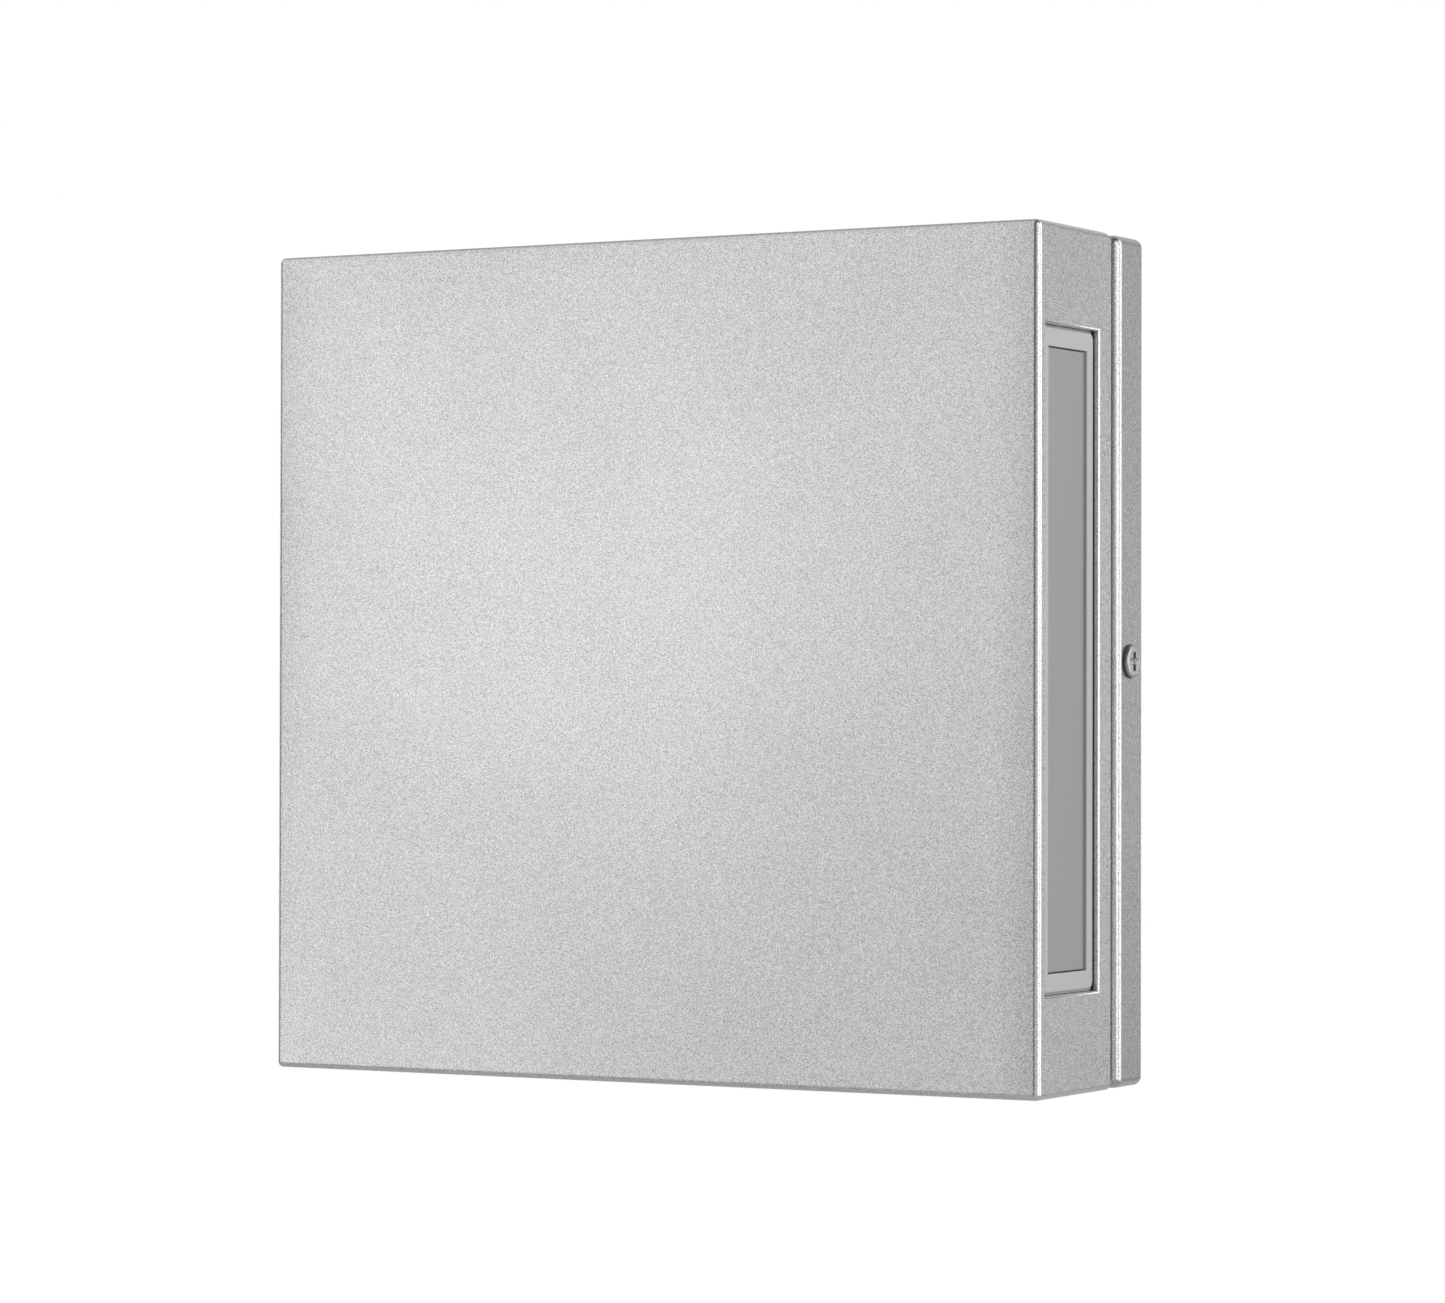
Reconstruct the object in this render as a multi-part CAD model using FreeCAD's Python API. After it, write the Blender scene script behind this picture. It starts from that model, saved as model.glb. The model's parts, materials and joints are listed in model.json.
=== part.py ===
import FreeCAD, Part

import math
import os

from FreeCAD import Placement, Rotation, Vector

# Square outdoor wall lantern: a folded tray with a lens in each side wall stands off a shallow wall pan.
# Millimetres. X to the right, Z up, Y into the wall. The origin is the middle of the wall plane,
# so the lantern lies at Y below 0 and faces -Y.

# Overall
WIDTH = 254.0
HEIGHT = 244.0
HOUSING_DEPTH = 47.5
SHADOW_GAP = 5.0
PAN_DEPTH = 16.0
SHEET = 1.5
HOUSING_BEND = 1.8
PAN_BEND = 2.7
HOUSING_REAR_ROUND = 3.6  # on the rear edge of each tray's top wall, so water leaves it
PAN_REAR_ROUND = 1.8

# Lens window in each side wall, given by the wall left around it
WINDOW_END_MARGIN = 28.7
WINDOW_FRONT_MARGIN = 4.4
WINDOW_REAR_MARGIN = 8.2
WINDOW_ROUND = 0.8

# Lens frame, diffuser, gasket and retainer
FRAME_GAP = 0.8
FRAME_SIDE = 4.0
FRAME_END = 5.1
FRAME_CORNER = 2.0
FLANGE_OVERLAP = 2.3
FLANGE_TAB = 11.0
FRAME_BODY = 4.0
GASKET = 1.0
DIFFUSER_GAP = 0.3
DIFFUSER_WALL = 2.0
DIFFUSER_LIP = 2.4
DIFFUSER_SUNK = 0.8
RETAINER = 1.2
STUD_EDGE = 5.5
STUD_RADIUS = 1.5
STUD_HOLE_GAP = 0.2
STUD_SPARE = 1.0
NUT_M3_HEIGHT = 2.4
NUT_M3_FLATS = 5.5

# Rear cover of the housing and what holds it
COVER = 2.0
COVER_RECESS = 1.0
COVER_EDGE_GAP = 1.2
TAB_SIZE = 13.0
TAB_THICK = 1.5
COVER_SCREW_INSET = 9.0

# Spacers that make the shadow gap
SPACER_INSET = 22.0
SPACER_RADIUS = 5.0
CLINCH_RADIUS = 4.1
CLINCH_SPIGOT_RADIUS = 2.8
CLINCH_HEIGHT = 3.5
SCREW_SPARE = 0.5

# Screws: shank radius, head radius, head height
M3 = (1.5, 2.75, 1.9)
M4 = (2.0, 4.0, 2.6)
WAFER_HEAD = (4.6, 1.2, 0.75)
M3_SINK_HEAD = 2.8
M3_SINK_RIM = 0.2
THREAD_GAP = 0.02
CLEARANCE = 0.25

# LED light bars
BAR_STANDOFF = 31.0
BAR_SHEET = 2.0
BAR_FOOT = 15.0
BAR_REACH = 36.0
BAR_END_MARGIN = 34.0
BOARD_THICK = 1.6
BOARD_WIDTH = 14.0
BOARD_END_INSET = 3.0
LED_SIZE = (0.8, 2.8, 3.5)
LED_PITCH = 12.5
LED_END_SPACE = 7.0
CONNECTOR = (3.6, 6.0, 8.0)
CONNECTOR_INSET = 1.0
FOOT_SCREW_SPREAD = 68.0

# LED driver
DRIVER_LENGTH = 110.0
DRIVER_HEIGHT = 38.0
DRIVER_DEPTH = 19.0
DRIVER_LID = 2.0
DRIVER_WALL = 2.0
DRIVER_CENTRE_Z = 36.0
DRIVER_EAR = 10.0
DRIVER_EAR_THICK = 2.5
DRIVER_CORNER = 3.0

# Leads from the driver to the light bars. The right-hand one leaves the driver, drops past its
# two clips and swings under the light bar to the board's connector.
LEAD_RADIUS = 1.25
LEAD_INSIDE_DRIVER = 5.5
LEAD_EXIT_FROM_COVER = 9.0
LEAD_EXIT_BELOW_CENTRE = 8.0
LEAD_DROP = 71.6
LEAD_CLIP_HEIGHT = 5.0
LEAD_SWING = 13.9
LEAD_SWING_TO_FLOOR = 4.0
CLIP_GAP = 0.35
CLIP_LENGTH = 6.0
CLIP_WALL = 1.8
CLIP_FOOT = 16.0

# Hollow threaded nipple that carries the supply wires across the shadow gap
NIPPLE_RADIUS = 5.0
NIPPLE_BORE = 3.75
NIPPLE_NUT_FLATS = 14.0
NIPPLE_NUT_HEIGHT = 3.0
NIPPLE_SEAL = 1.0
NIPPLE_SEAL_RADIUS = 8.0
NIPPLE_SPARE = 1.5
BUSHING_LIP = 1.0

# Bracket that is fixed to the outlet box
BRACKET = 2.0
BRACKET_SIDE_GAP = 1.3
BRACKET_EAR_HEIGHT = 28.0
BRACKET_EAR_REACH = 13.0
BRACKET_ARM = 40.0
BRACKET_CENTRE = 108.0
BRACKET_CHAMFER = 18.0
BRACKET_BEND = 2.5
BRACKET_WIRE_HOLE = 17.0
SLOT_SPACING = 82.0
SLOT_LENGTH = 18.0
SLOT_HALF_WIDTH = 2.4
GROUND_SCREW_AT = (30.0, 30.0)
RELEASE_SCREW_TO_WALL = 7.9
RELEASE_SCREW_LENGTH = 10.0
WASHER = 0.3
WASHER_RADIUS = 4.9
WEEP_RADIUS = 2.0
WEEP_AT = 70.0

# Cross recess of the screws
RECESS_ARM = 0.32
RECESS_REACH = 0.62

# Places worked out from the sizes above
PAN_FRONT = -PAN_DEPTH
PAN_INNER = PAN_FRONT + SHEET
HOUSING_REAR = PAN_FRONT - SHADOW_GAP
HOUSING_FRONT = HOUSING_REAR - HOUSING_DEPTH
COVER_REAR = HOUSING_REAR - COVER_RECESS
COVER_FRONT = COVER_REAR - COVER
HALF_W = WIDTH / 2
HALF_H = HEIGHT / 2
WALL_IN = HALF_W - SHEET
WINDOW_Y0 = HOUSING_FRONT + WINDOW_FRONT_MARGIN
WINDOW_Y1 = HOUSING_REAR - WINDOW_REAR_MARGIN
WINDOW_Z = HALF_H - WINDOW_END_MARGIN
WINDOW_MID_Y = (WINDOW_Y0 + WINDOW_Y1) / 2
FLANGE_X1 = WALL_IN - GASKET
FLANGE_X0 = FLANGE_X1 - FRAME_BODY
RETAINER_X0 = FLANGE_X0 - RETAINER
STUD_Z = WINDOW_Z + STUD_EDGE
BAR_OUTER_X = HALF_W - BAR_STANDOFF
BAR_Z = HALF_H - BAR_END_MARGIN
BOARD_X1 = BAR_OUTER_X + BOARD_THICK
BOARD_Z = BAR_Z - BOARD_END_INSET
SPACER_X = HALF_W - SPACER_INSET
SPACER_Z = HALF_H - SPACER_INSET
EAR_OUTER_X = WALL_IN - BRACKET_SIDE_GAP

X_AXIS = Vector(1, 0, 0)
Y_AXIS = Vector(0, 1, 0)
Z_AXIS = Vector(0, 0, 1)


def box(x0, x1, y0, y1, z0, z1):
    """Box between two corners."""
    return Part.makeBox(x1 - x0, y1 - y0, z1 - z0, Vector(x0, y0, z0))


def rod(radius, at, axis, length):
    """Cylinder that starts at a point and runs along an axis."""
    return Part.makeCylinder(radius, length, at, axis)


def hex_prism(flats, height):
    """Hexagonal prism on the Z axis, with its foot at 0."""
    reach = flats / math.sqrt(3)
    turns = [math.radians(60 * k) for k in range(7)]
    corners = [Vector(reach * math.cos(a), reach * math.sin(a), 0) for a in turns]
    return Part.Face(Part.makePolygon(corners)).extrude(Vector(0, 0, height))


def edges_along(shape, axis, test=lambda middle: True):
    """Straight edges of a shape that run along an axis and whose middle passes a test."""
    found = []
    for edge in shape.Edges:
        way = edge.lastVertex().Point - edge.firstVertex().Point
        straight = way.Length > 0 and way.cross(axis).Length < 1e-6 * way.Length
        if straight and test(edge.CenterOfMass):
            found.append(edge)
    return found


def placed(shape, at, towards):
    """A shape made along +Z, turned towards a direction and moved to a point."""
    shape.Placement = Placement(at, Rotation(Z_AXIS, towards))
    return shape


def group(shapes):
    """Several separate solids in one node."""
    return Part.makeCompound(shapes)


def cross_recess(head_radius, top):
    """Tapered cross that is cut from a screw head, whose top is at the given height."""
    reach = RECESS_REACH * head_radius
    arm = RECESS_ARM * reach
    bars = box(-reach, reach, -arm, arm, top - reach, top).fuse(
        box(-arm, arm, -reach, reach, top - reach, top)
    )
    taper = Part.makeCone(arm, reach, reach, Vector(0, 0, top - reach), Z_AXIS)
    return bars.common(taper)


def pan_screw(sizes, shank_length):
    """Pan-head screw: the head stands on 0 and the shank runs down."""
    shank, head, height = sizes
    crown = Part.makeCylinder(head, height)
    rim = [e for e in crown.Edges if e.CenterOfMass.z > height / 2 and len(e.Vertexes) == 1]
    crown = crown.makeFillet(0.45 * height, rim)
    body = crown.fuse(Part.makeCylinder(shank, shank_length, Vector(0, 0, -shank_length)))
    return body.cut(cross_recess(head, height)).removeSplitter()


def sunk_screw(shank, head, rim, shank_length):
    """Countersunk screw: the flat head top is at 0 and the shank runs down."""
    cone = head - shank
    body = Part.makeCylinder(head, rim, Vector(0, 0, -rim))
    body = body.fuse(Part.makeCone(shank, head, cone, Vector(0, 0, -rim - cone)))
    body = body.fuse(Part.makeCylinder(shank, shank_length, Vector(0, 0, -shank_length)))
    return body.cut(cross_recess(head, 0)).removeSplitter()


def wafer_screw(shank, shank_length):
    """Screw with a wide flat head and a round rim: the head stands on 0 and the shank runs down."""
    head, height, rim = WAFER_HEAD
    body = Part.makeCylinder(head, height)
    body = body.makeFillet(rim, [e for e in body.Edges if e.CenterOfMass.z > 0.9 * height])
    body = body.fuse(Part.makeCylinder(shank, shank_length, Vector(0, 0, -shank_length)))
    return body.cut(cross_recess(head, height)).removeSplitter()


def sink_cut(shank_gap, head, rim, depth, shank):
    """Cutter for a countersunk hole, with its mouth at 0 and its axis down."""
    open_radius = head + shank_gap
    cone = head - shank
    cut = Part.makeCylinder(open_radius, 2 * rim, Vector(0, 0, -rim))
    cut = cut.fuse(Part.makeCone(shank + shank_gap, open_radius, cone, Vector(0, 0, -rim - cone)))
    return cut.fuse(Part.makeCylinder(shank + shank_gap, depth, Vector(0, 0, -depth)))


def folded_tray(y_front, y_rear, bend, rear_round):
    """Sheet tray that is open at the rear, with its outer edges bent to a radius."""
    outer = box(-HALF_W, HALF_W, y_front, y_rear, -HALF_H, HALF_H)
    front = [
        e
        for axis in (X_AXIS, Z_AXIS)
        for e in edges_along(outer, axis, lambda m: m.y < y_front + SHEET)
    ]
    outer = outer.makeFillet(bend, front + edges_along(outer, Y_AXIS))
    rear = box(-WIDTH, WIDTH, y_rear - rear_round, y_rear + 1, HALF_H - rear_round, HEIGHT)
    roll = rod(rear_round, Vector(-WIDTH, y_rear - rear_round, HALF_H - rear_round), X_AXIS, 2 * WIDTH)
    outer = outer.cut(rear.cut(roll))
    inner_w = HALF_W - SHEET
    inner_h = HALF_H - SHEET
    inner = box(-inner_w, inner_w, y_front + SHEET, y_rear + SHEET, -inner_h, inner_h)
    return outer.cut(inner)


def corner_places(x, z):
    """The four mirror images of a place in the XZ plane."""
    return [(sx * x, sz * z) for sx in (1, -1) for sz in (1, -1)]


# ---- front unit -------------------------------------------------------------


def front_housing():
    tray = folded_tray(HOUSING_FRONT, HOUSING_REAR, HOUSING_BEND, HOUSING_REAR_ROUND)
    window = box(-WIDTH, WIDTH, WINDOW_Y0, WINDOW_Y1, -WINDOW_Z, WINDOW_Z)
    tray = tray.cut(window)

    def rims(middle):
        outside = abs(abs(middle.x) - HALF_W) < 1e-6
        return outside and WINDOW_Y0 - 1e-6 < middle.y < WINDOW_Y1 + 1e-6 and abs(middle.z) < WINDOW_Z + 1e-6

    edges = [e for axis in (Y_AXIS, Z_AXIS) for e in edges_along(tray, axis, rims)]
    return tray.makeFillet(WINDOW_ROUND, edges)


def corner_tab(sign_x, sign_z):
    """Angle welded inside a corner: the cover lands on one leg, the other lies on the wall."""
    x1 = HALF_W - SHEET
    z1 = HALF_H - SHEET
    land = box(x1 - TAB_SIZE, x1, COVER_FRONT - TAB_THICK, COVER_FRONT, z1 - TAB_SIZE, z1)
    leg = box(x1 - TAB_SIZE, x1, COVER_FRONT - TAB_SIZE, COVER_FRONT, z1 - TAB_THICK, z1)
    tab = land.fuse(leg).removeSplitter()
    at = Vector(HALF_W - COVER_SCREW_INSET, COVER_FRONT - TAB_SIZE, HALF_H - COVER_SCREW_INSET)
    tab = tab.cut(rod(M3[0] + THREAD_GAP, at, Y_AXIS, 2 * TAB_SIZE))
    if sign_x < 0:
        tab = tab.mirror(Vector(), X_AXIS)
    if sign_z < 0:
        tab = tab.mirror(Vector(), Z_AXIS)
    return tab


def corner_tabs():
    return group([corner_tab(sx, sz) for sx, sz in corner_places(1, 1)])


def cover_half_sizes():
    """Half width and half height of the rear cover."""
    return HALF_W - SHEET - COVER_EDGE_GAP, HALF_H - SHEET - COVER_EDGE_GAP


def foot_screw_places():
    """Where the light bars are screwed to the rear cover."""
    x = BAR_OUTER_X - BAR_FOOT + 5
    return [(sx * x, z) for sx in (1, -1) for z in (-FOOT_SCREW_SPREAD, 0, FOOT_SCREW_SPREAD)]


def driver_screw_places():
    x = DRIVER_LENGTH / 2 + DRIVER_EAR / 2
    z = DRIVER_CENTRE_Z + DRIVER_HEIGHT / 4
    return [(x, z), (-x, z)]


def rear_cover():
    half_w, half_h = cover_half_sizes()
    plate = box(-half_w, half_w, COVER_FRONT, COVER_REAR, -half_h, half_h)
    plate = plate.makeFillet(COVER_EDGE_GAP, edges_along(plate, Y_AXIS))
    cuts = [rod(NIPPLE_RADIUS + CLEARANCE, Vector(0, COVER_FRONT - 1, 0), Y_AXIS, COVER + 2)]
    for x, z in corner_places(SPACER_X, SPACER_Z):
        cuts.append(rod(CLINCH_SPIGOT_RADIUS, Vector(x, COVER_FRONT - 1, z), Y_AXIS, COVER + 2))
    for x, z in foot_screw_places() + driver_screw_places():
        cuts.append(rod(M3[0] + THREAD_GAP, Vector(x, COVER_FRONT - 1, z), Y_AXIS, COVER + 2))
    for x, z in corner_places(HALF_W - COVER_SCREW_INSET, HALF_H - COVER_SCREW_INSET):
        sink = sink_cut(CLEARANCE / 2, M3_SINK_HEAD, M3_SINK_RIM, COVER + 1, M3[0])
        cuts.append(placed(sink, Vector(x, COVER_REAR, z), Y_AXIS))
    return plate.cut(cuts)


def cover_seal():
    """Silicone ring that fills the edge gap around the rear cover."""
    half_w, half_h = cover_half_sizes()
    out_w = HALF_W - SHEET
    out_h = HALF_H - SHEET
    ring = box(-out_w, out_w, COVER_FRONT, COVER_REAR, -out_h, out_h)
    hole = box(-half_w, half_w, COVER_FRONT, COVER_REAR, -half_h, half_h)
    hole = hole.makeFillet(COVER_EDGE_GAP, edges_along(hole, Y_AXIS))
    return ring.cut(hole)


def cover_screws():
    length = COVER + TAB_THICK + SCREW_SPARE
    places = corner_places(HALF_W - COVER_SCREW_INSET, HALF_H - COVER_SCREW_INSET)
    return group(
        [
            placed(
                sunk_screw(M3[0], M3_SINK_HEAD, M3_SINK_RIM, length),
                Vector(x, COVER_REAR, z),
                Y_AXIS,
            )
            for x, z in places
        ]
    )


# ---- lens in the right-hand side wall; the left one is its mirror image -----


def window_plate(x0, x1, grow_y, grow_z, corner=0.0):
    """Plate the size of the window, grown by a border each way, with optional round corners."""
    plate = box(
        x0, x1, WINDOW_Y0 - grow_y, WINDOW_Y1 + grow_y, -WINDOW_Z - grow_z, WINDOW_Z + grow_z
    )
    if corner:
        plate = plate.makeFillet(corner, edges_along(plate, X_AXIS))
    return plate


def stud_cut(x0, x1):
    """Two clearance holes over the weld studs."""
    holes = [
        rod(STUD_RADIUS + STUD_HOLE_GAP, Vector(x0 - 1, WINDOW_MID_Y, s * STUD_Z), X_AXIS, x1 - x0 + 2)
        for s in (1, -1)
    ]
    return holes


def frame_opening(x0, x1):
    """The opening inside the lens frame's visible border."""
    return window_plate(x0, x1, -FRAME_GAP - FRAME_SIDE, -FRAME_GAP - FRAME_END)


def lens_frame():
    body = window_plate(FLANGE_X0, FLANGE_X1, FLANGE_OVERLAP, FLANGE_TAB, FRAME_CORNER)
    boss = window_plate(FLANGE_X1, WALL_IN, -FRAME_GAP, -FRAME_GAP, FRAME_CORNER)
    frame = body.fuse(boss)
    lip = DIFFUSER_LIP + DIFFUSER_GAP - FRAME_GAP
    pocket = window_plate(
        FLANGE_X0, FLANGE_X0 + DIFFUSER_WALL, lip - FRAME_SIDE, lip - FRAME_END
    )
    cuts = [pocket, frame_opening(FLANGE_X0, WALL_IN)] + stud_cut(FLANGE_X0, FLANGE_X1)
    return frame.cut(cuts).removeSplitter()


def diffuser():
    """Opal tray: a lip held in the frame's pocket and a raised face in its opening."""
    side = -FRAME_GAP - FRAME_SIDE
    end = -FRAME_GAP - FRAME_END
    face_x = WALL_IN - DIFFUSER_SUNK
    lip = window_plate(
        FLANGE_X0, FLANGE_X0 + DIFFUSER_WALL, side + DIFFUSER_LIP, end + DIFFUSER_LIP
    )
    plateau = window_plate(FLANGE_X0, face_x, side - DIFFUSER_GAP, end - DIFFUSER_GAP)
    hollow = window_plate(
        FLANGE_X0,
        face_x - DIFFUSER_WALL,
        side - DIFFUSER_GAP - DIFFUSER_WALL,
        end - DIFFUSER_GAP - DIFFUSER_WALL,
    )
    tray = lip.fuse(plateau).removeSplitter()
    return tray.cut(hollow)


def lens_gasket():
    ring = window_plate(FLANGE_X1, WALL_IN, FLANGE_OVERLAP, FLANGE_TAB, FRAME_CORNER)
    cuts = [window_plate(FLANGE_X1, WALL_IN, 0, 0)] + stud_cut(FLANGE_X1, WALL_IN)
    return ring.cut(cuts)


def retainer():
    """Pressed plate that clamps the diffuser into the frame."""
    plate = window_plate(RETAINER_X0, FLANGE_X0, FLANGE_OVERLAP, FLANGE_TAB, FRAME_CORNER)
    side = -FRAME_GAP - FRAME_SIDE - DIFFUSER_GAP - DIFFUSER_WALL
    end = -FRAME_GAP - FRAME_END - DIFFUSER_GAP - DIFFUSER_WALL
    cuts = [window_plate(RETAINER_X0, FLANGE_X0, side, end)] + stud_cut(RETAINER_X0, FLANGE_X0)
    return plate.cut(cuts)


def weld_studs():
    length = GASKET + FRAME_BODY + RETAINER + NUT_M3_HEIGHT + STUD_SPARE
    studs = [
        rod(STUD_RADIUS, Vector(WALL_IN - length, WINDOW_MID_Y, s * STUD_Z), X_AXIS, length)
        for s in (1, -1)
    ]
    return group(studs)


def retainer_nuts():
    nuts = []
    for s in (1, -1):
        nut = hex_prism(NUT_M3_FLATS, NUT_M3_HEIGHT)
        nut = nut.cut(Part.makeCylinder(STUD_RADIUS + THREAD_GAP, NUT_M3_HEIGHT))
        nuts.append(placed(nut, Vector(RETAINER_X0, WINDOW_MID_Y, s * STUD_Z), -X_AXIS))
    return group(nuts)


# ---- light bar behind the right-hand lens -----------------------------------


def led_heights():
    """Heights of the LEDs: as many as fit between the connector and the board's upper end."""
    low = CONNECTOR_INSET + CONNECTOR[2] + LED_END_SPACE - BOARD_Z
    high = BOARD_Z - LED_END_SPACE
    steps = int((high - low) / LED_PITCH)
    first = (low + high - steps * LED_PITCH) / 2
    return [first + k * LED_PITCH for k in range(steps + 1)]


def board_screw_heights():
    """Midway between two LEDs, near each end of the row and in its middle."""
    heights = led_heights()
    gaps = (0, (len(heights) - 1) // 2, len(heights) - 2)
    return [heights[k] + LED_PITCH / 2 for k in gaps]


def light_bar():
    """Aluminium angle: its foot is on the rear cover and its upright carries the LED board."""
    foot = box(BAR_OUTER_X - BAR_FOOT, BAR_OUTER_X, COVER_FRONT - BAR_SHEET, COVER_FRONT, -BAR_Z, BAR_Z)
    upright = box(
        BAR_OUTER_X - BAR_SHEET, BAR_OUTER_X, COVER_FRONT - BAR_REACH, COVER_FRONT, -BAR_Z, BAR_Z
    )
    bar = foot.fuse(upright).removeSplitter()
    cuts = [
        rod(M3[0] + CLEARANCE, Vector(x, COVER_FRONT - BAR_SHEET - 1, z), Y_AXIS, BAR_SHEET + 2)
        for x, z in foot_screw_places()
        if x > 0
    ]
    for z in board_screw_heights():
        at = Vector(BAR_OUTER_X - BAR_SHEET - 1, WINDOW_MID_Y, z)
        cuts.append(rod(M3[0] + THREAD_GAP, at, X_AXIS, BAR_SHEET + 2))
    return bar.cut(cuts)


def led_board():
    half = BOARD_WIDTH / 2
    board = box(
        BAR_OUTER_X, BOARD_X1, WINDOW_MID_Y - half, WINDOW_MID_Y + half, -BOARD_Z, BOARD_Z
    )
    cuts = [
        rod(M3[0] + CLEARANCE, Vector(BAR_OUTER_X - 1, WINDOW_MID_Y, z), X_AXIS, BOARD_THICK + 2)
        for z in board_screw_heights()
    ]
    return board.cut(cuts)


def leds():
    """LED packages, evenly spaced along the board."""
    high, wide, tall = LED_SIZE
    return group(
        [
            box(
                BOARD_X1,
                BOARD_X1 + high,
                WINDOW_MID_Y - wide / 2,
                WINDOW_MID_Y + wide / 2,
                z - tall / 2,
                z + tall / 2,
            )
            for z in led_heights()
        ]
    )


def board_connector():
    high, wide, tall = CONNECTOR
    z0 = -BOARD_Z + CONNECTOR_INSET
    block = box(
        BOARD_X1, BOARD_X1 + high, WINDOW_MID_Y - wide / 2, WINDOW_MID_Y + wide / 2, z0, z0 + tall
    )
    top = edges_along(block, Z_AXIS, lambda m: m.x > BOARD_X1 + high / 2)
    return block.makeFillet(high / 6, top)


def board_screws():
    length = BOARD_THICK + BAR_SHEET
    return group(
        [
            placed(pan_screw(M3, length), Vector(BOARD_X1, WINDOW_MID_Y, z), X_AXIS)
            for z in board_screw_heights()
        ]
    )


def foot_screws():
    length = BAR_SHEET + COVER
    return group(
        [
            placed(pan_screw(M3, length), Vector(x, COVER_FRONT - BAR_SHEET, z), -Y_AXIS)
            for x, z in foot_screw_places()
        ]
    )


# ---- driver and leads -------------------------------------------------------


def driver_box(y0, y1, shrink=0.0):
    half_l = DRIVER_LENGTH / 2 - shrink
    half_h = DRIVER_HEIGHT / 2 - shrink
    body = box(-half_l, half_l, y0, y1, DRIVER_CENTRE_Z - half_h, DRIVER_CENTRE_Z + half_h)
    return body.makeFillet(DRIVER_CORNER - shrink, edges_along(body, Y_AXIS))


def lead_exit():
    """Y and Z of the leads where they leave the driver's ends."""
    return COVER_FRONT - LEAD_EXIT_FROM_COVER, DRIVER_CENTRE_Z - LEAD_EXIT_BELOW_CENTRE


def driver_case():
    """Moulded case with a mounting ear at each end; its open side is towards the cover."""
    front = COVER_FRONT - DRIVER_DEPTH
    shell = driver_box(front, COVER_FRONT - DRIVER_LID)
    shell = shell.cut(driver_box(front + DRIVER_WALL, COVER_FRONT - DRIVER_LID, DRIVER_WALL))
    ears = []
    for x, z in driver_screw_places():
        inner = math.copysign(DRIVER_LENGTH / 2 - DRIVER_WALL, x)
        outer = math.copysign(DRIVER_LENGTH / 2 + DRIVER_EAR, x)
        ear = box(
            min(inner, outer),
            max(inner, outer),
            COVER_FRONT - DRIVER_LID - DRIVER_EAR_THICK,
            COVER_FRONT - DRIVER_LID,
            z - DRIVER_EAR / 2,
            z + DRIVER_EAR / 2,
        )
        at = Vector(x, COVER_FRONT - DRIVER_DEPTH, z)
        ears.append(ear.cut(rod(M3[0] + CLEARANCE, at, Y_AXIS, DRIVER_DEPTH)))
    y, z = lead_exit()
    radius = LEAD_RADIUS + THREAD_GAP
    lead_hole = rod(radius, Vector(-DRIVER_LENGTH, y, z), X_AXIS, 2 * DRIVER_LENGTH)
    return shell.fuse(ears).removeSplitter().cut(lead_hole)


def driver_lid():
    """Flat base of the driver, the same outline as the case and its ears."""
    lid = driver_box(COVER_FRONT - DRIVER_LID, COVER_FRONT)
    for x, z in driver_screw_places():
        inner = math.copysign(DRIVER_LENGTH / 2 - DRIVER_WALL, x)
        outer = math.copysign(DRIVER_LENGTH / 2 + DRIVER_EAR, x)
        ear = box(
            min(inner, outer),
            max(inner, outer),
            COVER_FRONT - DRIVER_LID,
            COVER_FRONT,
            z - DRIVER_EAR / 2,
            z + DRIVER_EAR / 2,
        )
        lid = lid.fuse(ear)
        at = Vector(x, COVER_FRONT - DRIVER_DEPTH, z)
        lid = lid.cut(rod(M3[0] + CLEARANCE, at, Y_AXIS, DRIVER_DEPTH + 1))
    return lid.removeSplitter()


def driver_screws():
    length = DRIVER_EAR_THICK + DRIVER_LID + COVER
    face = COVER_FRONT - DRIVER_LID - DRIVER_EAR_THICK
    return group(
        [
            placed(pan_screw(M3, length), Vector(x, face, z), -Y_AXIS)
            for x, z in driver_screw_places()
        ]
    )


def lead_path(points):
    """Straight runs joined by tangent arcs, each as large as its two runs allow."""
    edges = []
    radii = []
    start = points[0]
    for before, corner, after in zip(points, points[1:], points[2:]):
        back = before - corner
        ahead = after - corner
        turn = math.pi - back.getAngle(ahead)
        reach = 0.45 * min(back.Length, ahead.Length)
        radius = reach / math.tan(turn / 2)
        back.normalize()
        ahead.normalize()
        middle = back + ahead
        middle.normalize()
        tangent = corner + back * reach
        centre = corner + middle * (radius / math.cos(turn / 2))
        end = corner + ahead * reach
        edges.append(Part.LineSegment(start, tangent).toShape())
        edges.append(Part.Arc(tangent, centre - middle * radius, end).toShape())
        radii.append(round(radius, 1))
        start = end
    edges.append(Part.LineSegment(start, points[-1]).toShape())
    return Part.Wire(edges), radii


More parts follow.
